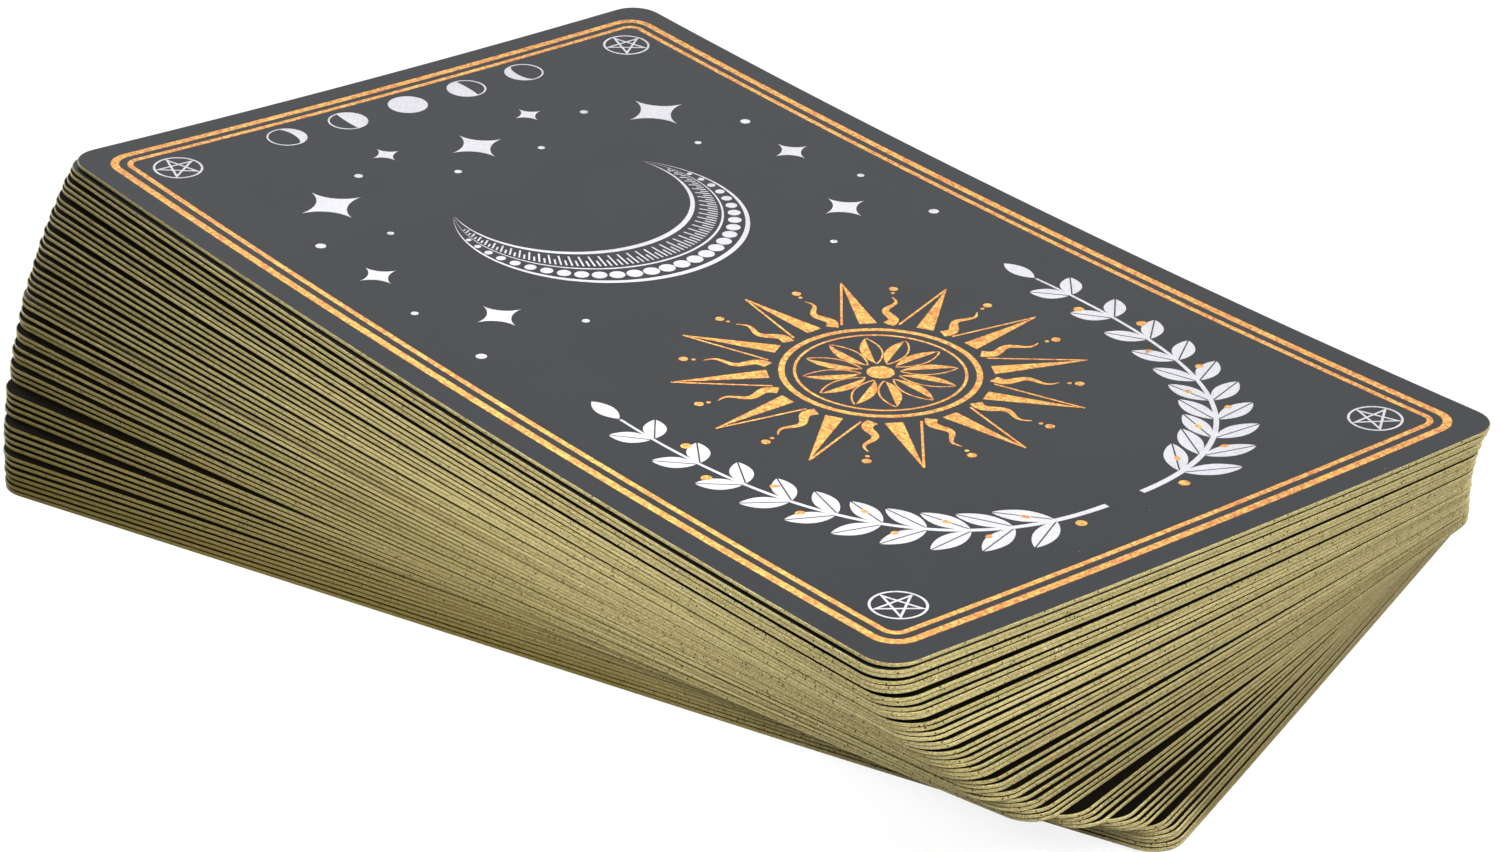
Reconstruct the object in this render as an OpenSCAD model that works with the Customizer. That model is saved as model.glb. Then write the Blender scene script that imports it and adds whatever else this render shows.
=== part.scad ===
// Oracle card deck: a loose stack of gilt-edged cards, twisted by hand into a spiral.
// Sizes are in millimetres. The origin is the centre of the bottom card's underside, +Z is up,
// +Y runs along the bottom card to its head, and +X runs across it to its right-hand edge.

/* [Card] */
// Width of a card
card_w = 70; // [50:1:90]
// Length of a card
card_l = 120; // [90:1:150]
// Thickness of the card stock
card_t = 0.34; // [0.25:0.01:0.6]
// Radius of the die-cut corners
corner_r = 3; // [1:0.1:8]

/* [Deck] */
// Number of cards in the deck
card_count = 50; // [30:1:60]
// Air between two cards that lie on each other
air_gap = 0.115; // [0.02:0.005:0.2]

/* [Twist] */
// Turn of the top card from the bottom card, in degrees, clockwise seen from above
deck_turn = 21.5; // [0:0.5:90]
// How long the turning holds back below the top card, as a power of the depth
turn_onset = 1.35; // [1:0.05:3]
// Depth at which the second grip took hold, as a share of the deck below the top card
grip_break = 0.66; // [0.4:0.01:0.8]
// Share of the turn that the first grip gave, above that depth
first_grip = 0.55; // [0.2:0.05:0.8]
// Point that the top card turned about: across the deck from its centre
top_pivot_x = -5.6; // [-20:0.1:20]
// The same point: along the deck towards the head
top_pivot_y = 5.8; // [-30:0.1:30]
// Point that the lowest cards turned about: across the deck from its centre
low_pivot_x = 0; // [-20:1:20]
// The same point: along the deck towards the head
low_pivot_y = 21; // [-30:1:30]
// How soon that point leaves its place below the top card, as a power of the depth
pivot_onset = 0.7; // [0.3:0.05:2]
// Slip inside the lowest packets, as a share of an even step
loosest_slip = 0.9; // [0:0.05:1]

/* [Hidden] */
// Cards that cling along their gilding, counted in packets down from the top card
packets = [
    1, 2, 3, 2, 3, 2, 2, 2, 1, 1, 2, 3,
    1, 2, 2, 1, 2, 3, 4, 4, 2, 3, 2
];
// Depth below which the packets start to let go of their cards, as a share of the deck
letting_go = 0.5;
// Rise from one card to the next
pitch = card_t + air_gap;
// Segments of a full circle
$fn = 64;
// Colours of the printed face and of the gilded edges, which are all that shows of the lower cards
face_colour = "#3b3c41";
gilt_colour = "#b4a567";

// Number of cards in the first k packets
function cards_in(k) = k == 0 ? 0 : cards_in(k - 1) + packets[k - 1];

// Number of cards in all the packets: cards below them lie singly
packed_cards = cards_in(len(packets));

// First card of the packet that holds a card, both counted down from 0 at the top card
function packet_head(down, k = 0) =
    down < cards_in(k + 1) ? cards_in(k) : packet_head(down, k + 1);

// Share of an even step that the cards of a packet have slipped: none in the upper half of the deck
function packet_slip(down) =
    loosest_slip * max(0, down / (card_count - 1) - letting_go) / (1 - letting_go);

// Depth of a card in the twist, from 0 for the top card to 1 for the bottom card: a packet turns as one
function twist_depth(down) =
    let (
        packed = down < min(packed_cards, card_count - 1),
        place = packed
            ? packet_head(down) + packet_slip(down) * (down - packet_head(down))
            : down
    )
    place / (card_count - 1);

// Share of the whole turn between the top card and a depth. The first grip turns the cards slowly, then
// evenly. The second grip turns them fast and eases out at the bottom card.
function turn_given(depth) =
    depth < grip_break
        ? first_grip * pow(depth / grip_break, turn_onset)
        : first_grip + (1 - first_grip) * sin(90 * (depth - grip_break) / (1 - grip_break));

// Turn of card n, counted up from 1 at the bottom card, which lies square to the axes
function card_turn(n) = -deck_turn * (1 - turn_given(twist_depth(card_count - n)));

// Point that card n turned about on its way from the square deck to its place
function card_pivot(n) =
    let (share = pow(twist_depth(card_count - n), pivot_onset))
    [
        top_pivot_x + share * (low_pivot_x - top_pivot_x),
        top_pivot_y + share * (low_pivot_y - top_pivot_y),
        0
    ];

// Name of card n
function card_name(n) =
    n == 1 ? "bottom_card"
    : n == card_count ? "top_card"
    : str("card_", n < 10 ? "0" : "", n);

// Outline that the card is die-cut to
module card_outline() {
    square([card_w - 2 * corner_r, card_l], center = true);
    square([card_w, card_l - 2 * corner_r], center = true);
    for (x = [-1, 1], y = [-1, 1])
        translate([x * (card_w / 2 - corner_r), y * (card_l / 2 - corner_r)])
            circle(r = corner_r);
}

// Card n at its height and turn in the deck
module card(n) {
    translate([0, 0, (n - 1) * pitch])
        translate(card_pivot(n))
            rotate([0, 0, card_turn(n)])
                translate(-card_pivot(n))
                    linear_extrude(card_t)
                        card_outline();
}

// Card that the deck rests on
module bottom_card() {
    color(gilt_colour) card(1);
}

// Card n between the bottom card and the top card
module middle_card(n) {
    color(gilt_colour) card(n);
}

// Card that lies face up on the deck
module top_card() {
    color(face_colour) card(card_count);
}

bottom_card();
for (n = [2 : card_count - 1])
    middle_card(n);
top_card();
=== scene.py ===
import bpy
import numpy as np
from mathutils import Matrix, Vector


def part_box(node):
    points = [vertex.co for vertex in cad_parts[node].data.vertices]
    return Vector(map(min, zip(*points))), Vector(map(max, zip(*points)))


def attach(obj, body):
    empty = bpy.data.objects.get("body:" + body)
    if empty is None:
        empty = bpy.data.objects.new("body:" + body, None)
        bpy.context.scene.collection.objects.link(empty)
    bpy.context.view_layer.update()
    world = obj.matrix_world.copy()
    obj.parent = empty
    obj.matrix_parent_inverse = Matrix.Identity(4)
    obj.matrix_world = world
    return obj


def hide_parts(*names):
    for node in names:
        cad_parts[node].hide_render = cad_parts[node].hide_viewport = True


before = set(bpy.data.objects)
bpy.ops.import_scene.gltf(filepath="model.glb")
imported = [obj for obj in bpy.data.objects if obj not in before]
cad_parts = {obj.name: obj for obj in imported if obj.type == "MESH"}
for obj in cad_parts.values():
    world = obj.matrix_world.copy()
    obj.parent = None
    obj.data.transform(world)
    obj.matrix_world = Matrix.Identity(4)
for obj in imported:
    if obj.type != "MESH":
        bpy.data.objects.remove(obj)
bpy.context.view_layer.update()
MM = 0.001

# Stack of cards
# Every card is one sheet of coated card stock, die-cut to the same round-cornered outline. The cards lie
# loose on each other, so their heights and turns come from the frame, from the bottom card to the top.
ON_HEAD = 0.001 * MM


def points_of(name):
    """Corner points of a CAD card, one (x, y, z) row each."""
    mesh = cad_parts[name].data
    flat = np.empty(3 * len(mesh.vertices), np.float32)
    mesh.vertices.foreach_get("co", flat)
    return flat.reshape(-1, 3).astype(float)


def place_of(name):
    """Centre of a card, and its turn, found from the way in which its points spread least, its width:
    half the angle of (mean of y squared - x squared, mean of -2 * x * y)."""
    x, y, _ = points_of(name).T
    middle = (x.min() + x.max()) / 2, (y.min() + y.max()) / 2
    x, y = x - middle[0], y - middle[1]
    return middle, 0.5 * np.arctan2(-2 * (x * y).mean(), (y * y - x * x).mean())


cards = sorted(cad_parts, key=lambda name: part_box(name)[0].z)
order = np.arange(len(cards))
bottom = points_of(cards[0])
half_w, half_l, card_t = bottom.max(0) - [0, 0, bottom[:, 2].min()]
head_points = bottom[bottom[:, 1] > half_l - ON_HEAD]
corner_r = half_w - head_points[:, 0].max()
centres, turns = (np.array(part) for part in zip(*[place_of(name) for name in cards]))
face_z = np.array([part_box(name)[1].z for name in cards])

# Cards of one packet cling along their gilding: they lie close under its highest card and leave the air
# below them.
CLING_GAP = 0.03 * MM
SAME_TURN = np.radians(0.01)
clings = np.append(np.abs(np.diff(turns)) < SAME_TURN, False)
packet_top = np.minimum.accumulate(np.where(clings, len(cards), order)[::-1])[::-1]
packet_base = np.maximum.accumulate(np.where(np.append(False, clings[:-1]), 0, order))
face_z = face_z[packet_top] - (packet_top - order) * (card_t + CLING_GAP)
under_z = face_z - card_t

# Within a packet the lower cards have crept towards the place of the next packet's highest card, most of
# all at the head: share of the way = creep * cards above it in the packet / cards in the packet.
HEAD_CREEP = 0.95
FOOT_CREEP = 0.40
FOOT_CREEP_SPREAD = 0.30
CREEP_RHYTHM = 1.9
next_top = np.maximum(packet_base - 1, 0)
way_down = (packet_top - order) / (packet_top - packet_base + 1)
foot_creep = FOOT_CREEP + FOOT_CREEP_SPREAD * np.sin(CREEP_RHYTHM * packet_top)
to_head = half_l * np.stack([-np.sin(turns), np.cos(turns)], 1)
heads = centres + to_head
feet = centres - to_head
heads = heads + (HEAD_CREEP * way_down)[:, None] * (heads[next_top] - heads)
feet = feet + (foot_creep * way_down)[:, None] * (feet[next_top] - feet)
centres = (heads + feet) / 2
turns = np.arctan2(feet[:, 0] - heads[:, 0], heads[:, 1] - feet[:, 1])

# Printed and gilded finishes
# The face is coated matte black and printed in two inks: a warm orange built of halftone dots and a pale
# silver grey. The cut edge of the whole deck is gilded with a satin foil that keeps the grain of the cut.


def add(tree, kind, values=None, **settings):
    """Adds a shader node with its settings, and sets the inputs named in values."""
    made = tree.nodes.new(kind)
    for key, value in settings.items():
        setattr(made, key, value)
    for key, value in (values or {}).items():
        made.inputs[key].default_value = value
    return made


def finish_material(name, metallic=0.0):
    """A material with a Principled shader, and the tree and shader to build on."""
    material = bpy.data.materials.new(name)
    material.use_nodes = True
    tree = material.node_tree
    shader = tree.nodes["Principled BSDF"]
    shader.inputs["Metallic"].default_value = metallic
    return material, tree, shader


def place_in(tree):
    """Object coordinates of a point, in metres."""
    return add(tree, "ShaderNodeTexCoord").outputs["Object"]


def blend_colours(tree, factor, first, second):
    """Mix of two colours, or links, by a link."""
    mix = add(tree, "ShaderNodeMix", data_type="RGBA")
    tree.links.new(factor, mix.inputs["Factor"])
    for socket, colour in ((mix.inputs["A"], first), (mix.inputs["B"], second)):
        if isinstance(colour, tuple):
            socket.default_value = (*colour, 1)
        else:
            tree.links.new(colour, socket)
    return mix.outputs["Result"]


def worked_out(tree, operation, *values):
    """Result of a Math node on links and numbers."""
    node = add(tree, "ShaderNodeMath", operation=operation)
    for socket, value in zip(node.inputs, values):
        if isinstance(value, (int, float)):
            socket.default_value = value
        else:
            tree.links.new(value, socket)
    return node.outputs["Value"]


def spread(tree, link, low, high, to_low=0.0, to_high=1.0):
    """Stretches the range low to high of a link over to_low to to_high, and cuts off the rest."""
    ends = {"From Min": low, "From Max": high, "To Min": to_low, "To Max": to_high}
    stretch = add(tree, "ShaderNodeMapRange", ends)
    tree.links.new(link, stretch.inputs["Value"])
    return stretch.outputs["Result"]


def spread_noise(tree, link, to_low=0.0, to_high=1.0):
    """Stretches the range 0.3 to 0.7, in which most of a noise lies, over to_low to to_high."""
    return spread(tree, link, 0.3, 0.7, to_low, to_high)


def noise(tree, where, scale, detail, roughness):
    """Value of a noise whose features are 1 / scale across."""
    texture = add(tree, "ShaderNodeTexNoise", {"Detail": detail, "Roughness": roughness})
    tree.links.new(where, texture.inputs["Vector"])
    if isinstance(scale, (int, float)):
        texture.inputs["Scale"].default_value = scale
    else:
        tree.links.new(scale, texture.inputs["Scale"])
    return texture.outputs["Fac"]


def cells(tree, where, scale):
    """Cells 1 / scale metres across: the way from the middle of each, and two chances of its own."""
    texture = add(tree, "ShaderNodeTexVoronoi", {"Scale": scale})
    tree.links.new(where, texture.inputs["Vector"])
    chances = add(tree, "ShaderNodeSeparateColor")
    tree.links.new(texture.outputs["Color"], chances.inputs["Color"])
    return texture.outputs["Distance"], chances.outputs["Red"], chances.outputs["Green"]


def bump(tree, shader, height, distance):
    """Relief of a height link on a shader's normal, at full strength over a distance in metres."""
    relief = add(tree, "ShaderNodeBump", {"Strength": 1.0, "Distance": distance})
    tree.links.new(height, relief.inputs["Height"])
    tree.links.new(relief.outputs["Normal"], shader.inputs["Normal"])


# Grain of the coated stock, shared by the face, the margins and both inks: a fine tooth and a soft mottle.
# The scales are in features across a metre.
TOOTH_SCALE = 9000
MOTTLE_SCALE = 140
grain = bpy.data.node_groups.new("stock_grain", "ShaderNodeTree")
for socket_name in ("Tooth Scale", "Mottle Scale"):
    grain.interface.new_socket(socket_name, in_out="INPUT", socket_type="NodeSocketFloat")
for socket_name in ("Tooth", "Mottle"):
    grain.interface.new_socket(socket_name, in_out="OUTPUT", socket_type="NodeSocketFloat")
grain_in = grain.nodes.new("NodeGroupInput")
grain_out = grain.nodes.new("NodeGroupOutput")
grain_place = place_in(grain)
fine_tooth = noise(grain, grain_place, grain_in.outputs["Tooth Scale"], detail=3, roughness=0.6)
soft_mottle = noise(grain, grain_place, grain_in.outputs["Mottle Scale"], detail=4, roughness=0.6)
grain.links.new(fine_tooth, grain_out.inputs["Tooth"])
grain.links.new(soft_mottle, grain_out.inputs["Mottle"])


def stock_grain(tree):
    """Places the grain of the stock in a material, and gives its tooth and its mottle."""
    scales = {"Tooth Scale": TOOTH_SCALE, "Mottle Scale": MOTTLE_SCALE}
    placed = add(tree, "ShaderNodeGroup", scales, node_tree=grain)
    return placed.outputs["Tooth"], placed.outputs["Mottle"]


# Matte black coating with a soft mottle, a few specks of dust and many finer, fainter ones. Dust is given
# by its cells across a metre, the size of a speck in its cell, the share of clean cells and its colour.
BLACK_DEEP = (0.0028, 0.0028, 0.0034)
BLACK_SOFT = (0.0055, 0.0056, 0.0066)
BLACK_SHEEN = 0.335
BLACK_SHEEN_TINT = (0.70, 0.85, 1.0, 1)
BLACK_ROUGH = (0.30, 0.40)
FINE_DUST = (1500, 0.10, 0.80, (0.045, 0.045, 0.045))
DUST = (420, 0.03, 0.86, (0.22, 0.22, 0.22))
SPECK_CORE = 0.7
PICK_STEP = 0.01
COAT_RELIEF = 0.004 * MM
black_face, tree, shader = finish_material("black_face")
shader.inputs["Specular IOR Level"].default_value = BLACK_SHEEN
shader.inputs["Specular Tint"].default_value = BLACK_SHEEN_TINT
tooth, mottle = stock_grain(tree)
coat = blend_colours(tree, spread_noise(tree, mottle), BLACK_DEEP, BLACK_SOFT)
where = place_in(tree)
for scale, radius, clean, colour in (FINE_DUST, DUST):
    distance, chance, _ = cells(tree, where, scale)
    speck = spread(tree, distance, SPECK_CORE * radius, radius, 1, 0)
    dusty = spread(tree, chance, clean, clean + PICK_STEP)
    coat = blend_colours(tree, worked_out(tree, "MULTIPLY", speck, dusty), coat, colour)
tree.links.new(coat, shader.inputs["Base Color"])
tree.links.new(spread_noise(tree, tooth, *BLACK_ROUGH), shader.inputs["Roughness"])
bump(tree, shader, tooth, COAT_RELIEF)

# Painted shade: a dull black copy of the coating without its sheen, on the cut's broken lower edge and on
# the margins of the faces that stay covered, where it stands for the shade in the narrow gaps between the
# cards.
SHADE_MARGIN_DEEP = (0.0016, 0.0013, 0.0005)
SHADE_MARGIN_SOFT = (0.0040, 0.0032, 0.0012)
SHADE_MARGIN_SHEEN = 0.03
SHADE_MARGIN_ROUGH = (0.60, 0.75)
shaded_black_margin, tree, shader = finish_material("shaded_black_margin")
shader.inputs["Specular IOR Level"].default_value = SHADE_MARGIN_SHEEN
tooth, mottle = stock_grain(tree)
coat = blend_colours(tree, spread_noise(tree, mottle), SHADE_MARGIN_DEEP, SHADE_MARGIN_SOFT)
tree.links.new(coat, shader.inputs["Base Color"])
tree.links.new(spread_noise(tree, tooth, *SHADE_MARGIN_ROUGH), shader.inputs["Roughness"])
bump(tree, shader, tooth, COAT_RELIEF)

# Satin gilding on the rough cut: pits, grains drawn out along the cut and a tone that changes from card to
# card, with small dark nicks and a few bright specks, which are painted glints. The scales are in features
# across a metre.
GILT_LIGHT = (0.59, 0.507, 0.236)
GILT_DEEP = (0.235, 0.19, 0.070)
GILT_METAL = 0.2
GILT_SHEEN = 0.1
GILT_ROUGH = (0.60, 0.42)
GRAIN_SCALES = (3200, 9500, 1)
TONE_SCALES = (14, 14, 900)
PIT_SCALE = 9000
GRAIN_SHARE, PIT_SHARE, TONE_SHARE = 0.4, 0.4, 0.3
COLOUR_SPAN = (0.44, 0.66)
ROUGH_SPAN = (0.42, 0.68)
FOIL_RELIEF = 0.03 * MM
gilt_edge, tree, shader = finish_material("gilt_edge", GILT_METAL)
shader.inputs["Specular IOR Level"].default_value = GILT_SHEEN


def stretched(tree, where, scales):
    """Coordinates times a scale along each axis."""
    mapping = add(tree, "ShaderNodeMapping", {"Scale": scales})
    tree.links.new(where, mapping.inputs["Vector"])
    return mapping.outputs["Vector"]


def axes_of(tree, vector):
    """X, Y and Z of a vector."""
    parts = add(tree, "ShaderNodeSeparateXYZ")
    tree.links.new(vector, parts.inputs["Vector"])
    return parts.outputs["X"], parts.outputs["Y"], parts.outputs["Z"]


where = place_in(tree)
own_map = add(tree, "ShaderNodeUVMap", uv_map="CardMap").outputs["UV"]
grains = noise(tree, stretched(tree, own_map, GRAIN_SCALES), 1, detail=2, roughness=0.55)
pits = noise(tree, where, PIT_SCALE, detail=1, roughness=0.5)
tone = noise(tree, stretched(tree, where, TONE_SCALES), 1, detail=2, roughness=0.6)
relief = worked_out(tree, "MULTIPLY", tone, TONE_SHARE)
relief = worked_out(tree, "MULTIPLY_ADD", pits, PIT_SHARE, relief)
relief = worked_out(tree, "MULTIPLY_ADD", grains, GRAIN_SHARE, relief)
foil = blend_colours(tree, spread(tree, relief, *COLOUR_SPAN), GILT_DEEP, GILT_LIGHT)

GILT_NICK = (0.035, 0.028, 0.008)
# Painted glints: pale specks in the foil's colour.
GILT_GLINT = (0.80, 0.74, 0.50)
NICK_AND_GLINT_SCALE = 2600
NICK_AND_GLINT_CORE, NICK_AND_GLINT_RIM = 0.16, 0.30
NICKED_ABOVE, GLINTED_ABOVE, MARK_STEP = 0.62, 0.965, 0.02
distance, nick_chance, glint_chance = cells(tree, where, NICK_AND_GLINT_SCALE)
mark_spot = spread(tree, distance, NICK_AND_GLINT_CORE, NICK_AND_GLINT_RIM, 1, 0)
marks = ((nick_chance, NICKED_ABOVE, GILT_NICK), (glint_chance, GLINTED_ABOVE, GILT_GLINT))
for chance, above, colour in marks:
    marked = worked_out(tree, "MULTIPLY", mark_spot, spread(tree, chance, above, above + MARK_STEP))
    foil = blend_colours(tree, marked, foil, colour)

# Painted shade: the gilding is mixed towards a dark brown towards the bottom card and towards the head. The
# foot's left corner is kept out of the low shade, a painted light, given here as a way round the card's
# edge.
GILT_PAINTED_SHADE = (0.085, 0.060, 0.004)
LOW_SHADE_TO, LOW_SHADE_MOST = 16 * MM, 0.8
HEAD_SHADE_FROM, HEAD_SHADE_TO, HEAD_SHADE_MOST = 25 * MM, 62 * MM, 0.4
LIT_CORNER_FROM = np.pi * corner_r + 2 * (half_w - corner_r) + 2 * (half_l - corner_r)
LIT_CORNER_TO = LIT_CORNER_FROM + np.pi / 2 * corner_r
LIT_CORNER_RISE, LIT_CORNER_FADE = 50 * MM, 5 * MM
_, along_deck, height = axes_of(tree, where)
way_round, _, _ = axes_of(tree, own_map)
before_lit_corner = spread(tree, way_round, LIT_CORNER_FROM - LIT_CORNER_RISE, LIT_CORNER_FROM, 1, 0)
past_lit_corner = spread(tree, way_round, LIT_CORNER_TO, LIT_CORNER_TO + LIT_CORNER_FADE)
off_lit_corner = worked_out(tree, "MAXIMUM", before_lit_corner, past_lit_corner)
low_shade = spread(tree, height, 0, LOW_SHADE_TO, LOW_SHADE_MOST, 0)
head_shade = spread(tree, along_deck, HEAD_SHADE_FROM, HEAD_SHADE_TO, 0, HEAD_SHADE_MOST)
# Painted shade mixed into the foil: low down except at the foot's left corner, and towards the head.
foil = blend_colours(tree, worked_out(tree, "MULTIPLY", low_shade, off_lit_corner), foil, GILT_PAINTED_SHADE)
foil = blend_colours(tree, head_shade, foil, GILT_PAINTED_SHADE)
tree.links.new(foil, shader.inputs["Base Color"])
tree.links.new(spread(tree, relief, *ROUGH_SPAN, *GILT_ROUGH), shader.inputs["Roughness"])
bump(tree, shader, relief, FOIL_RELIEF)

# Orange ink: a halftone of red-orange, orange and yellow dots, each coloured by its own two chances.
INK_RED = (0.58, 0.17, 0.05)
INK_ORANGE = (0.84, 0.36, 0.06)
INK_YELLOW = (0.95, 0.60, 0.14)
INK_DOT_SCALE = 4200
ORANGE_CHANCE = (0.2, 0.8)
YELLOW_CHANCE = (0.45, 0.95)
ORANGE_ROUGH = (0.42, 0.56)
INK_RELIEF = 0.002 * MM
orange_ink, tree, shader = finish_material("orange_ink")
tooth, _ = stock_grain(tree)
_, orange_chance, yellow_chance = cells(tree, place_in(tree), INK_DOT_SCALE)
warm = blend_colours(tree, spread(tree, orange_chance, *ORANGE_CHANCE), INK_RED, INK_ORANGE)
warm = blend_colours(tree, spread(tree, yellow_chance, *YELLOW_CHANCE), warm, INK_YELLOW)
tree.links.new(warm, shader.inputs["Base Color"])
tree.links.new(spread_noise(tree, tooth, *ORANGE_ROUGH), shader.inputs["Roughness"])
bump(tree, shader, tooth, INK_RELIEF)

# Silver-grey ink with a faint grain where the paper's tooth shows through.
SILVER_LIGHT = (0.72, 0.72, 0.76)
SILVER_THIN = (0.46, 0.46, 0.50)
SILVER_SPAN = (0.32, 0.52)
SILVER_ROUGH = (0.40, 0.52)
silver_ink, tree, shader = finish_material("silver_ink")
tooth, mottle = stock_grain(tree)
silver = blend_colours(tree, spread(tree, tooth, *SILVER_SPAN), SILVER_THIN, SILVER_LIGHT)
tree.links.new(silver, shader.inputs["Base Color"])
tree.links.new(spread_noise(tree, mottle, *SILVER_ROUGH), shader.inputs["Roughness"])
bump(tree, shader, tooth, INK_RELIEF)

FINISHES = [black_face, gilt_edge, orange_ink, silver_ink, shaded_black_margin]
BLACK, GILT, ORANGE, SILVER, SHADE_MARGIN = range(len(FINISHES))

# Corner stars
# A small five-pointed star in a circle, printed in silver ink in each corner of every card, with one
# point of the star towards the card's head. The ink lies on the coating as a thin film.
STAR_R = 2.4 * MM
STAR_FROM_EDGE = 7.8 * MM
STAR_LINE = 0.22 * MM
RING_STEPS = 40


def ribbon(path, width, closed=False):
    """Flat line of even width: each point of the path moves half the width to both sides, along the
    mean of the normals before and after it, stretched at bends so that the width holds."""
    ahead = np.roll(path, -1, 0) - path
    if not closed:
        ahead[-1] = ahead[-2]
    ahead /= np.linalg.norm(ahead, axis=1, keepdims=True)
    behind = np.roll(ahead, 1, 0)
    if not closed:
        behind[0] = ahead[0]
    mean = ahead + behind
    mean /= np.linalg.norm(mean, axis=1, keepdims=True)
    stretch = width / 2 / (mean * ahead).sum(1, keepdims=True)
    side = np.stack([-mean[:, 1], mean[:, 0]], 1) * stretch
    return path - side, path + side, closed


def around(radius, count, start=0.0):
    """Points on a circle, anticlockwise from an angle in degrees."""
    angle = np.radians(start) + 2 * np.pi * np.arange(count) / count
    return radius * np.stack([np.cos(angle), np.sin(angle)], 1)


def print_mesh(strips):
    """Points and quads of flat strips, each a grid of two curves: right curve, left curve, closed or not.
    A strip whose curves are given the other way round is turned over, so that every quad faces up."""
    points, quads, start = [], [], 0
    for right, left, closed in strips:
        run = (np.roll(right, -1, 0) - right)[:-1]
        across = (left - right)[:-1]
        if (run[:, 0] * across[:, 1] - run[:, 1] * across[:, 0]).sum() < 0:
            right, left = left, right
        count = len(right)
        here = np.arange(count if closed else count - 1)
        ahead = (here + 1) % count
        points += [right, left]
        quads.append(start + np.stack([here, ahead, count + ahead, count + here], 1))
        start += 2 * count
    return np.concatenate(points), np.concatenate(quads)


def in_ink(finish, strips):
    """Strips as one print: points, quads and the finish of each quad."""
    points, quads = print_mesh(strips)
    return points, quads, np.full(len(quads), finish)


pentagram = np.arange(5) * 2 % 5
star_strips = [
    ribbon(around(STAR_R - STAR_LINE / 2, RING_STEPS), STAR_LINE, True),
    ribbon(around(STAR_R - 2 * STAR_LINE, 5, start=90)[pentagram], STAR_LINE, True),
]
star_places = np.array([(x, y) for x in (-1, 1) for y in (-1, 1)])
star_places = star_places * (half_w - STAR_FROM_EDGE, half_l - STAR_FROM_EDGE)
corner_stars = in_ink(
    SILVER,
    [(right + place, left + place, closed) for place in star_places for right, left, closed in star_strips],
)
prints = {name: [corner_stars] for name in cards}

# Printed emblems
# The middle of the top card carries a crescent moon in silver ink over a sun in orange ink, which stands
# between two laurel sprigs, and a row of moon phases runs along the head. The inks are those of the frame
# and the stars. Sizes are in millimetres from the middle of the card, with +y to its head.


def tapered(path, widths):
    """Strip along a path, with a width at each point of it, square to the path."""
    along = np.gradient(path, axis=0)
    side = np.stack([-along[:, 1], along[:, 0]], 1) / np.linalg.norm(along, axis=1, keepdims=True)
    half = np.reshape(widths, (-1, 1)) / 2 * side
    return path - half, path + half, False


def upright(low, high, count):
    """Points of an upright line through the middle, from low to high."""
    return np.stack([np.zeros(count), np.linspace(low, high, count)], 1)


def sideways(reach):
    """Moves to the right, one for each value of a reach."""
    return np.stack([reach, np.zeros(len(reach))], 1)


def bulge(wide, tip, count):
    """Widths of a leaf or petal, for ways from 0 at its root to 1 at its tip:
    wide * sin(pi * way) ** 0.8 + tip."""
    return wide * np.sin(np.pi * np.linspace(0, 1, count)) ** 0.8 + tip


def dot(x, y, radius):
    """Filled disc: a strip up its middle, 2 * sqrt(radius squared - height squared) wide."""
    height = radius * np.sin(np.radians(np.linspace(-85, 85, 9)))
    return tapered(np.stack([0 * height + x, height + y], 1), 2 * np.sqrt(radius**2 - height**2))


def sparkle(x, y, radius):
    """Four-pointed star with hollow sides: |x| ** 0.6 + |y| ** 0.6 = radius ** 0.6."""
    share = np.linspace(-0.99, 0.99, 19)
    share = share * np.abs(share)
    wide = (1 - np.abs(share) ** 0.6) ** (1 / 0.6)
    return tapered(np.stack([0 * share + x, radius * share + y], 1), 2 * radius * wide)


def turned(strip, degrees):
    """A strip turned about the origin."""
    c, s = np.cos(np.radians(degrees)), np.sin(np.radians(degrees))
    turn = np.array([[c, s], [-s, c]])
    return strip[0] @ turn, strip[1] @ turn, strip[2]


def moved(strips, x, y):
    """Strips moved by x and y, in millimetres, and scaled from millimetres to metres."""
    return [((right + (x, y)) * MM, (left + (x, y)) * MM, closed) for right, left, closed in strips]


# Sun: a rosette in a double ring, straight rays with one half filled, and wavy rays between them, each with
# two beads beyond its tip. A petal of the rosette is filled on the left of its rib and a line on the right.
RAY_COUNT = 12
RAY_ROOT, RAY_TIP, RAY_LINE, RAY_STEPS = 9.9, 18.6, 0.22, 8
RAY_HALF, RAY_TIP_HALF = 1.62, 0.02
WAVE_TIP, WAVE_SWING, WAVE_STEPS = 15.6, 0.42, 25
WAVE_WIDE, WAVE_TIP_WIDE = 1.15, 0.12
BEADS = ((17.4, 0.42), (16.5, 0.2))
PETAL_ROOT, PETAL_TIP, PETAL_LINE, PETAL_STEPS = 1.75, 6.9, 0.16, 13
PETAL_WIDE, PETAL_TIP_WIDE, PETAL_RIB = 1.9, 0.04, 0.09
SUN_HEART = 1.25
INNER_RING, INNER_LINE = 7.55, 0.26
OUTER_RING, OUTER_LINE = 8.7, 0.55
SUN_STEPS = 72
ray_axis = upright(RAY_ROOT, RAY_TIP, RAY_STEPS)
ray_edge = ray_axis + sideways(np.linspace(RAY_HALF, RAY_TIP_HALF, RAY_STEPS))
straight_ray = [(ray_axis, ray_edge, False), ribbon(ray_edge * (-1, 1), RAY_LINE)]
wave = upright(RAY_ROOT, WAVE_TIP, WAVE_STEPS)
wave += sideways(WAVE_SWING * np.sin(np.linspace(0, 3 * np.pi, WAVE_STEPS)))
wavy_ray = [tapered(wave, np.linspace(WAVE_WIDE, WAVE_TIP_WIDE, WAVE_STEPS))]
wavy_ray += [dot(0, y, radius) for y, radius in BEADS]
petal = upright(PETAL_ROOT, PETAL_TIP, PETAL_STEPS)
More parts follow.
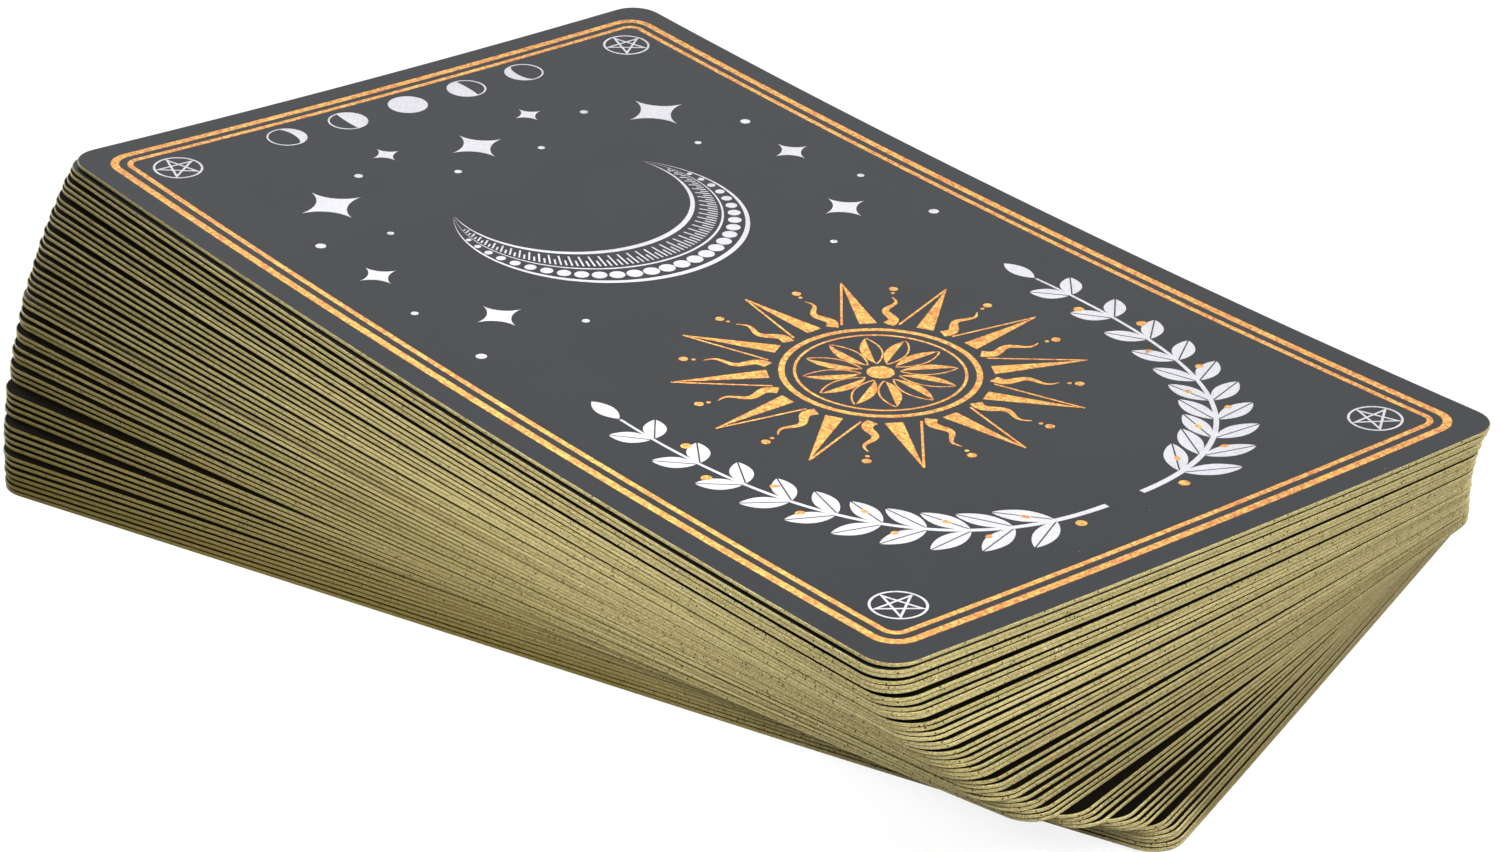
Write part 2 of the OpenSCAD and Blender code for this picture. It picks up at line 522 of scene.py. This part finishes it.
petal_half = sideways(bulge(PETAL_WIDE, PETAL_TIP_WIDE, PETAL_STEPS) / 2)
rosette_petal = [(petal - petal_half, petal - (PETAL_RIB, 0), False), ribbon(petal + petal_half, PETAL_LINE)]
sun = [
    dot(0, 0, SUN_HEART),
    ribbon(around(INNER_RING, SUN_STEPS), INNER_LINE, True),
    ribbon(around(OUTER_RING, SUN_STEPS), OUTER_LINE, True),
]
for ray_turn in np.arange(RAY_COUNT) * 360 / RAY_COUNT:
    sun += [turned(part, ray_turn) for part in straight_ray + rosette_petal]
    sun += [turned(part, ray_turn + 180 / RAY_COUNT) for part in wavy_ray]

# Crescent moon with its horns up, between an outer and an inner arc. Curves at a share of the way from the
# outer arc to the inner one carry its two outlines, a row of dots, a thin line and a band of hatching. Each
# of these ends a little short of the horns, at a way of its own from 0 at the left horn to 1 at the right.
MOON_OUT, MOON_IN, MOON_APART = 14.0, 11.6, 5.2
MOON_LINES = ((0, 0.075), (0.43, 0.465), (0.92, 1.0))
MOON_ENDS, MOON_STEPS = (0.01, 0.99), 91
DOT_SHARE, DOT_SIZE = 0.25, 0.105
DOT_ENDS, DOT_COUNT = (0.10, 0.90), 29
HATCH_FROM, HATCH_TO, HATCH_SHORT, HATCH_LINE = 0.53, 0.84, 0.70, 0.17
HATCH_ENDS, HATCH_COUNT = (0.07, 0.93), 87
horn_y = (MOON_APART**2 + MOON_OUT**2 - MOON_IN**2) / (2 * MOON_APART)
horn_x = np.sqrt(MOON_OUT**2 - horn_y**2)


def moon_curve(share, way):
    """Points for ways from horn to horn: outer arc + share * (inner arc - outer arc)."""
    first = np.pi - np.arctan2(horn_y, horn_x)
    second = np.pi - np.arctan2(horn_y - MOON_APART, horn_x)
    out_angle = first + way * (3 * np.pi - 2 * first)
    in_angle = second + way * (3 * np.pi - 2 * second)
    outer = MOON_OUT * np.stack([np.cos(out_angle), np.sin(out_angle)], 1)
    inner = MOON_IN * np.stack([np.cos(in_angle), np.sin(in_angle)], 1) + (0, MOON_APART)
    return outer + np.reshape(share, (-1, 1)) * (inner - outer)


moon_way = np.linspace(*MOON_ENDS, MOON_STEPS)
moon = [(moon_curve(first, moon_way), moon_curve(second, moon_way), False) for first, second in MOON_LINES]
dot_way = np.linspace(*DOT_ENDS, DOT_COUNT)
dot_room = np.linalg.norm(moon_curve(1, dot_way) - moon_curve(0, dot_way), axis=1)
moon += [dot(x, y, DOT_SIZE * room) for (x, y), room in zip(moon_curve(DOT_SHARE, dot_way), dot_room)]
for number, at in enumerate(np.linspace(*HATCH_ENDS, HATCH_COUNT)):
    hatch = np.linspace(HATCH_FROM, HATCH_TO if number % 2 else HATCH_SHORT, 3)
    moon.append(tapered(moon_curve(hatch, np.full(3, at)), np.full(3, HATCH_LINE)))

# Laurel sprigs: a tapered stem on a quadratic curve, with paired leaves, each in two halves beside its rib,
# a berry at each pair and a leaf at the tip.
STEM_START, STEM_BEND, STEM_END = (2.0, -30.5), (25.5, -30.0), (24.2, 6.0)
STEM_WIDE, STEM_END_WIDE, STEM_STEPS = 0.6, 0.25, 45
FIRST_PAIR, PAIR_EVERY = 5, 4
LEAF_ROOT, LEAF_LONG, LEAF_SHRINK, LEAF_STEPS = 0.35, 5.4, 0.17, 11
LEAF_HALF, LEAF_POINT, LEAF_LEAN, RIB_HALF = 0.92, 0.03, 40, 0.07
BERRY_R, BERRY_OFF, BERRY_LEAN, BERRY_BACK = 0.5, 1.5, 70, 2
TIP_ROOT, TIP_LONG, TIP_WIDE = 0.2, 4.2, 1.7


def sprig(side):
    """Stem, leaves and berries of the sprig on one side, -1 for left or 1 for right. The stem is
    (1 - way) squared * start + 2 * way * (1 - way) * bend + way squared * end."""
    way = np.linspace(0, 1, STEM_STEPS)[:, None]
    stem = (1 - way) ** 2 * STEM_START + 2 * way * (1 - way) * STEM_BEND + way**2 * STEM_END
    along = np.gradient(stem, axis=0)
    heading = np.degrees(np.arctan2(along[:, 1], along[:, 0])) - 90
    mirror = np.array([side, 1])
    leaves = [tapered(stem * mirror, np.linspace(STEM_WIDE, STEM_END_WIDE, STEM_STEPS))]
    berries = []
    for pair, at in enumerate(range(FIRST_PAIR, STEM_STEPS, PAIR_EVERY)):
        rib = upright(LEAF_ROOT, LEAF_LONG - LEAF_SHRINK * pair, LEAF_STEPS)
        leaf_half = sideways(bulge(LEAF_HALF, LEAF_POINT, LEAF_STEPS))
        for lean in (-LEAF_LEAN, LEAF_LEAN):
            for half in (-1, 1):
                near = rib + (RIB_HALF * half, 0)
                right, left, _ = turned((near, near + half * leaf_half, False), heading[at] + lean)
                leaves.append(((right + stem[at]) * mirror, (left + stem[at]) * mirror, False))
        berry_way = np.radians(heading[at] + (BERRY_LEAN if pair % 2 else -BERRY_LEAN))
        x, y = stem[at - BERRY_BACK] + BERRY_OFF * np.array([-np.sin(berry_way), np.cos(berry_way)])
        berries.append(dot(side * x, y, BERRY_R))
    tip = tapered(upright(TIP_ROOT, TIP_LONG, LEAF_STEPS), bulge(TIP_WIDE, LEAF_POINT, LEAF_STEPS))
    right, left, _ = turned(tip, heading[-1])
    leaves.append(((right + stem[-1]) * mirror, (left + stem[-1]) * mirror, False))
    return leaves, berries


left_leaves, left_berries = sprig(-1)
right_leaves, right_berries = sprig(1)
leaves = left_leaves + right_leaves
sun_and_berries = sun + left_berries + right_berries

# Moon phases: a ring round each, with a lit part between two half ellipses. Their widths are shares of the
# ring's, from -1 at its left limb to 1 at its right limb.
PHASE_R, PHASE_APART, PHASE_LINE = 2.0, 7.2, 0.18
LIT = [(0.45, 1), (-0.1, 1), (-1, 1), (-1, 0.1), (-1, -0.45)]
LIMB_END, LIMB_STEPS = 87, 21
phase_r = PHASE_R - PHASE_LINE / 2
limb = np.radians(np.linspace(-LIMB_END, LIMB_END, LIMB_STEPS))
limb_x, limb_y = phase_r * np.cos(limb), phase_r * np.sin(limb)
phases = []
for number, (lit_from, lit_to) in enumerate(LIT):
    place = ((number - len(LIT) // 2) * PHASE_APART, 0)
    phases.append(ribbon(around(phase_r, RING_STEPS) + place, PHASE_LINE, True))
    first, second = (np.stack([lit * limb_x, limb_y], 1) + place for lit in (lit_from, lit_to))
    phases.append((first, second, False))

# Small stars and dots of the sky: kind, place right of the middle and up, and size. They are printed on both
# sides, and one more star stands on the middle line.
MIDDLE_STAR = (0, 41.0, 3.0)
SKY_MARKS = (
    (sparkle, 19.5, 37.5, 3.4),
    (sparkle, 24.6, 22.5, 2.1),
    (sparkle, 8.6, 44.2, 1.6),
    (sparkle, 20.4, 9.6, 2.5),
    (dot, 13.6, 41.6, 0.42),
    (dot, 25.4, 30.6, 0.5),
    (dot, 18.4, 29.4, 0.34),
    (dot, 5.0, 37.2, 0.36),
    (dot, 26.4, 14.2, 0.36),
    (dot, 14.6, 4.4, 0.36),
    (dot, 26.6, 3.8, 0.5),
)
sky_stars = [sparkle(*MIDDLE_STAR)]
sky_stars += [kind(side * x, y, size) for side in (-1, 1) for kind, x, y, size in SKY_MARKS]

SUN_Y, MOON_Y, PHASE_Y = -19.0, 21.0, half_l / MM - 7.3
prints[cards[-1]] += [
    in_ink(ORANGE, moved(sun_and_berries, 0, SUN_Y)),
    in_ink(SILVER, moved(moon, 0, MOON_Y) + moved(leaves, 0, SUN_Y)),
    in_ink(SILVER, moved(phases, 0, PHASE_Y) + moved(sky_stars, 0, 0)),
]

# The faces that come to light when the top card is dealt and when the deck is cut each carry one motif.
DEALT_FACE = len(cards) - 2
CUT_FACE = cards.index("card_28")
DEALT_MOON_Y, DEALT_SKY_Y = -2.6, -18
prints[cards[DEALT_FACE]] += [
    in_ink(SILVER, moved(moon, 0, DEALT_MOON_Y)),
    in_ink(SILVER, moved(phases, 0, PHASE_Y) + moved(sky_stars, 0, DEALT_SKY_Y)),
]
prints[cards[CUT_FACE]] += [
    in_ink(ORANGE, moved(sun_and_berries, 0, 0)),
    in_ink(SILVER, moved(leaves, 0, 0) + moved(phases, 0, PHASE_Y)),
]

# Card sheets
# The sheet itself, cut by a die that broke both sides of its edge to a slight chamfer. The foil wraps over
# the one at the face. A double line in orange ink runs round the face, and the back is plain black.
BACK_CHAMFER, FACE_CHAMFER = 0.04 * MM, 0.08 * MM
BACK_DEEP, FACE_DEEP = 0.055 * MM, 0.045 * MM
LINE_INSETS = np.array([2.40, 3.15, 3.85, 4.40]) * MM
LINE_RADII = np.array([2.6, 2.0, 1.5, 1.0]) * MM
INK_LIFT = 0.012 * MM
FIELD_STEPS, BACK_STEPS = 12, 4
ARC_STEPS, SHORT_STEPS, LONG_STEPS = 8, 14, 24

# The stock bows towards its printed face: a shallow dish, height = bow * radius squared, in metres. The
# weight of the stack presses it out, so the bow fades to nothing at the bottom card.
TOP_BOW = 0.34
bows = TOP_BOW * packet_top / packet_top[-1]

# Riffling has curled up the foot's left corner, most of all on the lowest cards, where it stands free:
# height = curl * (share of the way from the fold to the corner) squared.
CURL_LIFT = 0.45 * MM
CURL_FOLD = 34 * MM
curls = 1 - order / order[-1]
curl_way = -np.array([half_w, half_l]) / np.hypot(half_w, half_l)
curl_reach = np.hypot(half_w, half_l) - CURL_FOLD

# Trimming leaves the cards unequal by a few hundredths of a millimetre.
TRIM_SPREAD = 0.03 * MM
TRIM_RHYTHM = 2.4
trims = TRIM_SPREAD * np.sin(TRIM_RHYTHM * order)


def on_table(card, xy):
    """Points given in a card's own width and length, turned with the card and moved to its centre:
    centre + (x * cos turn - y * sin turn, x * sin turn + y * cos turn)."""
    c, s = np.cos(turns[card]), np.sin(turns[card])
    x, y = xy[..., 0], xy[..., 1]
    return centres[card] + np.stack([c * x - s * y, s * x + c * y], -1)


def rise_of(card, flat):
    """Height of a bowed and curled card over its flat place: bow * (distance from the deck's axis) squared
    + curl * (share of the way from the fold to the corner) squared."""
    past = np.maximum(flat @ curl_way - CURL_FOLD, 0) / curl_reach
    return bows[card] * (flat * flat).sum(-1) + CURL_LIFT * curls[card] * past * past


def rounded_outline():
    """Signs and normals of samples round a rounded rectangle, anticlockwise from its right-hand side.
    A point of it is (half size - radius) * sign + radius * normal. On a corner the signs are fixed and
    the normal turns through a quarter. On a side the normal is fixed and one sign runs across."""
    corner = np.array([(1, 1), (-1, 1), (-1, -1), (1, -1)], float)
    signs, quarters = [], []
    for number, steps in enumerate((SHORT_STEPS, LONG_STEPS, SHORT_STEPS, LONG_STEPS)):
        here, ahead = corner[number], corner[(number + 1) % 4]
        share = np.linspace(0, 1, steps + 1)[1:-1, None]
        signs += [np.repeat(here[None], ARC_STEPS + 1, 0), here + share * (ahead - here)]
        quarters += [number + np.linspace(0, 1, ARC_STEPS + 1), np.full(steps - 1, number + 1.0)]
    angle = np.concatenate(quarters) * np.pi / 2
    return np.concatenate(signs), np.stack([np.cos(angle), np.sin(angle)], 1)


signs, normals = rounded_outline()
samples = len(signs)

# Rings of the sheet, from the middle of the back out to the edge, up it and in to the middle of the face.
back_share = np.arange(1, BACK_STEPS) / BACK_STEPS
field_share = 1 - np.arange(1, FIELD_STEPS) / FIELD_STEPS
edge_inset = np.array([BACK_CHAMFER, 0, 0, FACE_CHAMFER])


def ring_halves(half):
    """Half widths or half lengths of all the rings, for that of the card."""
    on_back = back_share * (half - BACK_CHAMFER)
    in_field = field_share * (half - LINE_INSETS[-1])
    return np.concatenate([on_back, half - edge_inset, half - LINE_INSETS, in_field])


ring_half = np.stack([ring_halves(half_w), ring_halves(half_l)], 1)
ring_radius = np.concatenate(
    [back_share * corner_r, corner_r - edge_inset, LINE_RADII, field_share * LINE_RADII[-1]]
)
rings = len(ring_radius)
edge_ring = len(back_share)
line_ring = edge_ring + len(edge_inset)
edge_bands = len(edge_inset) - 1
ring_on_back = np.arange(rings) < edge_ring + 2
ring_step = np.zeros(rings)
ring_step[[edge_ring + 1, edge_ring + 2]] = BACK_DEEP, -FACE_DEEP

# Finish of the band between each ring and the next. The broken lower edge, and the margin where the face
# stays covered, carry the painted shade of the dull black finish.
bands = np.arange(rings - 1)
on_edge = (bands >= edge_ring) & (bands < edge_ring + edge_bands)
band_finish = np.full(rings - 1, BLACK)
# Painted shade: the dull black on the broken lower edge and on the covered margin.
band_finish[edge_ring] = SHADE_MARGIN
band_finish[edge_ring + 1 : edge_ring + edge_bands] = GILT
band_finish[line_ring - 1] = SHADE_MARGIN
band_finish[[line_ring, line_ring + 2]] = ORANGE
shown_finish = band_finish.copy()
shown_finish[line_ring - 1] = BLACK
SHOWN_FACES = (order[-1], DEALT_FACE, CUT_FACE)

# Quads of the grid, with the column after the last kept apart so that maps don't run back across the seam.
columns = np.arange(samples)
band, column = np.meshgrid(bands, columns, indexing="ij")
quad_ring = np.stack([band, band, band + 1, band + 1], -1)
quad_column = np.stack([column, column + 1, column + 1, column], -1)
quad_sample = quad_column % samples
sheet_quads = (1 + quad_ring * samples + quad_sample).reshape(-1, 4)
next_column = (columns + 1) % samples
face_start = 1 + (rings - 1) * samples
face_pole = 1 + rings * samples
back_fan = np.stack([np.zeros(samples, int), 1 + next_column, 1 + columns], 1)
face_fan = np.stack([face_start + columns, face_start + next_column, np.full(samples, face_pole)], 1)

# Place of each part of the sheet on its baked map: face and back side by side, the edge in a band above.
MAP_FACE_W = 0.46
MAP_FACE = np.array([0.02, 0.02])
MAP_BACK = np.array([0.52, 0.02])
MAP_EDGE = np.array([0.02, 0.86])
MAP_EDGE_SIZE = np.array([0.96, 0.12])
SHARP_FROM = np.radians(15)


def sheet_rings(card):
    """Places of a card's rings by outline samples in its own width and length, and the same as points of
    the stack, at the height of the back or the face + rise + chamfer."""
    size = 1 + trims[card] / half_w
    radius = ring_radius[:, None, None]
    xy = size * ((ring_half[:, None] - radius) * signs + radius * normals)
    flat = on_table(card, xy)
    level = np.where(ring_on_back[:, None], under_z[card], face_z[card])
    height = level + rise_of(card, flat) + ring_step[:, None]
    return xy, np.concatenate([flat, height[..., None]], -1)


def joined_prints(card):
    """All the prints of a card as one: points in its width and length, quads and the finish of each."""
    xy, quads, finish = zip(*prints[cards[card]])
    starts = np.cumsum([0] + [len(part) for part in xy])
    quads = [start + part for start, part in zip(starts, quads)]
    return np.concatenate(xy), np.concatenate(quads), np.concatenate(finish)


def sheet_maps(card, xy, grid, ink_corners):
    """Two maps of the face corners. CardMap gives the way round and up the edge in metres, and elsewhere
    the place on the card. OFBake lays face, back and edge side by side without overlap."""
    outer = xy[edge_ring + 1]
    step = np.linalg.norm(np.roll(outer, -1, 0) - outer, axis=1)
    run = np.append(0, np.cumsum(step))[quad_column]
    rise = grid[quad_ring, quad_sample, 2] - under_z[card]
    quad_xy = xy[quad_ring, quad_sample]
    quad_on_edge = on_edge[:, None, None, None]
    quad_on_back = (quad_ring.max(-1) <= edge_ring)[..., None, None]
    middle = np.zeros((samples, 2))
    fan_back = np.stack([middle, np.roll(xy[0], -1, 0), xy[0]], 1)
    fan_face = np.stack([xy[-1], np.roll(xy[-1], -1, 0), middle], 1)
    own_quads = np.where(quad_on_edge, np.stack([run, rise], -1), quad_xy)
    card_map = [fan_back, own_quads, fan_face, ink_corners]

    scale = MAP_FACE_W / (2 * half_w)
    shift = np.array([half_w, half_l])
    edge_share = np.stack([run / step.sum(), (quad_ring - edge_ring) / edge_bands], -1)
    edge_uv = MAP_EDGE + MAP_EDGE_SIZE * edge_share
    flat_uv = np.where(quad_on_back, MAP_BACK, MAP_FACE) + scale * (quad_xy + shift)
    bake_map = [
        MAP_BACK + scale * (fan_back + shift),
        np.where(quad_on_edge, edge_uv, flat_uv),
        MAP_FACE + scale * (fan_face + shift),
        MAP_FACE + scale * (ink_corners + shift),
    ]
    return {
        "CardMap": np.concatenate([part.reshape(-1, 2) for part in card_map]),
        "OFBake": np.concatenate([part.reshape(-1, 2) for part in bake_map]),
    }


def new_piece(name, points, faces, finish_of_face, maps):
    """An object at the origin with points, faces, a finish for each face and its maps of face corners."""
    mesh = bpy.data.meshes.new(name)
    mesh.from_pydata(points, [], [face for part in faces for face in part.tolist()])
    for finish in FINISHES:
        mesh.materials.append(finish)
    mesh.polygons.foreach_set("material_index", finish_of_face.astype(np.int32))
    for map_name, corners in maps.items():
        mesh.uv_layers.new(name=map_name).uv.foreach_set("vector", corners.astype(np.float32).ravel())
    mesh.shade_smooth()
    mesh.set_sharp_from_angle(angle=SHARP_FROM)
    mesh.update()
    piece = bpy.data.objects.new(name, mesh)
    bpy.context.scene.collection.objects.link(piece)
    return piece


def card_sheet(card):
    """Closed surface of a card as a grid of rings by outline samples, with a pole in the middle of the
    back and of the face, and its prints laid on it as films."""
    xy, grid = sheet_rings(card)
    sag = rise_of(card, centres[card])
    back_middle = [[*centres[card], under_z[card] + sag]]
    face_middle = [[*centres[card], face_z[card] + sag]]
    ink_xy, ink_quads, ink_finish = joined_prints(card)
    ink_flat = on_table(card, ink_xy)
    ink_z = face_z[card] + rise_of(card, ink_flat) + INK_LIFT
    ink_points = np.concatenate([ink_flat, ink_z[:, None]], 1)
    points = np.concatenate([back_middle, grid.reshape(-1, 3), face_middle, ink_points])
    faces = [back_fan, sheet_quads, face_fan, face_pole + 1 + ink_quads]
    own_finish = shown_finish if card in SHOWN_FACES else band_finish
    fan_finish = np.full(samples, BLACK)
    finish = np.concatenate([fan_finish, np.repeat(own_finish, samples), fan_finish, ink_finish])
    maps = sheet_maps(card, xy, grid, ink_xy[ink_quads])
    return new_piece(f"{cards[card]}_sheet", points, faces, finish, maps)


for number, name in enumerate(cards):
    sheet = card_sheet(number)
    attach(sheet, name)
    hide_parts(name)

# Floor, light and camera
# A plain white table, lit by a soft lamp before the deck's foot and a narrow one on its left-hand long side,
# with two low fill lamps on the sides away from the camera, which stands where the photograph was taken.
FLOOR_HALF = 4.0
FLOOR_WHITE = (0.18, 0.18, 0.18, 1)
FLOOR_ROUGH = 0.9
FLOOR_GLOW = 0.86
SKY_LIGHT = 0.15
WHITE = (1, 1, 1, 1)


def seen_ray(tree):
    """1 for a ray that the eye follows, straight, mirrored or through glass, and 0 for one that only
    carries light."""
    ray = add(tree, "ShaderNodeLightPath").outputs
    seen = worked_out(tree, "MAXIMUM", ray["Is Camera Ray"], ray["Is Glossy Ray"])
    return worked_out(tree, "MAXIMUM", seen, ray["Is Transmission Ray"])


floor_corners = FLOOR_HALF * np.array([(-1, -1, 0), (1, -1, 0), (1, 1, 0), (-1, 1, 0)])
floor_mesh = bpy.data.meshes.new("floor")
floor_mesh.from_pydata(floor_corners, [], [(0, 1, 2, 3)])
floor = bpy.data.objects.new("floor", floor_mesh)
bpy.context.scene.collection.objects.link(floor)
white_table, tree, shader = finish_material("white_table")
shader.inputs["Base Color"].default_value = FLOOR_WHITE
shader.inputs["Roughness"].default_value = FLOOR_ROUGH
shader.inputs["Emission Color"].default_value = WHITE
glow = worked_out(tree, "MULTIPLY", seen_ray(tree), FLOOR_GLOW)
tree.links.new(glow, shader.inputs["Emission Strength"])
floor_mesh.materials.append(white_table)

world = bpy.data.worlds.new("studio")
bpy.context.scene.world = world
world.use_nodes = True
tree = world.node_tree
sky = tree.nodes["Background"]
sky.inputs["Color"].default_value = WHITE
sky_strength = worked_out(tree, "MULTIPLY_ADD", seen_ray(tree), 1 - SKY_LIGHT, SKY_LIGHT)
tree.links.new(sky_strength, sky.inputs["Strength"])


def soft_lamp(name, place, target, size, power, beam=180):
    """A square area lamp at a place, turned to a target, in metres and watts, with a beam in degrees."""
    lamp = bpy.data.lights.new(name, "AREA")
    lamp.size = size
    lamp.energy = power
    lamp.spread = np.radians(beam)
    shade = bpy.data.objects.new(name, lamp)
    way = np.subtract(target, place)
    yaw = np.arctan2(way[1], way[0]) - np.pi / 2
    tilt = np.arctan2(np.hypot(way[0], way[1]), -way[2])
    shade.visible_camera = False
    shade.location = place
    shade.rotation_euler = (tilt, 0, yaw)
    bpy.context.scene.collection.objects.link(shade)


soft_lamp("key_lamp", (-0.07, -0.46, 0.40), (0, -0.03, 0.01), size=0.3, power=3.7)
soft_lamp("side_lamp", (-0.27, -0.06, 0.20), (-0.045, 0.006, 0.012), size=0.07, power=0.049, beam=30)
soft_lamp("head_fill", (0.15, 0.43, 0.10), (0, 0, 0.01), size=0.16, power=1.2)
soft_lamp("right_fill", (0.42, -0.22, 0.10), (0, 0, 0.01), size=0.16, power=1.2)

SENSOR_MM, LENS_MM = 36, 97.47
LENS_SHIFT = 0.0415
CAMERA_PLACE = (-0.29591, -0.15946, 0.18159)
CAMERA_TURN = (62.654, -1.413, -60.187)
lens = bpy.data.cameras.new("camera")
lens.sensor_width = SENSOR_MM
lens.lens = LENS_MM
lens.shift_x = LENS_SHIFT
camera = bpy.data.objects.new("camera", lens)
camera.location = CAMERA_PLACE
camera.rotation_euler = np.radians(CAMERA_TURN)
bpy.context.scene.collection.objects.link(camera)
bpy.context.scene.camera = camera
bpy.context.scene.view_settings.view_transform = "Standard"
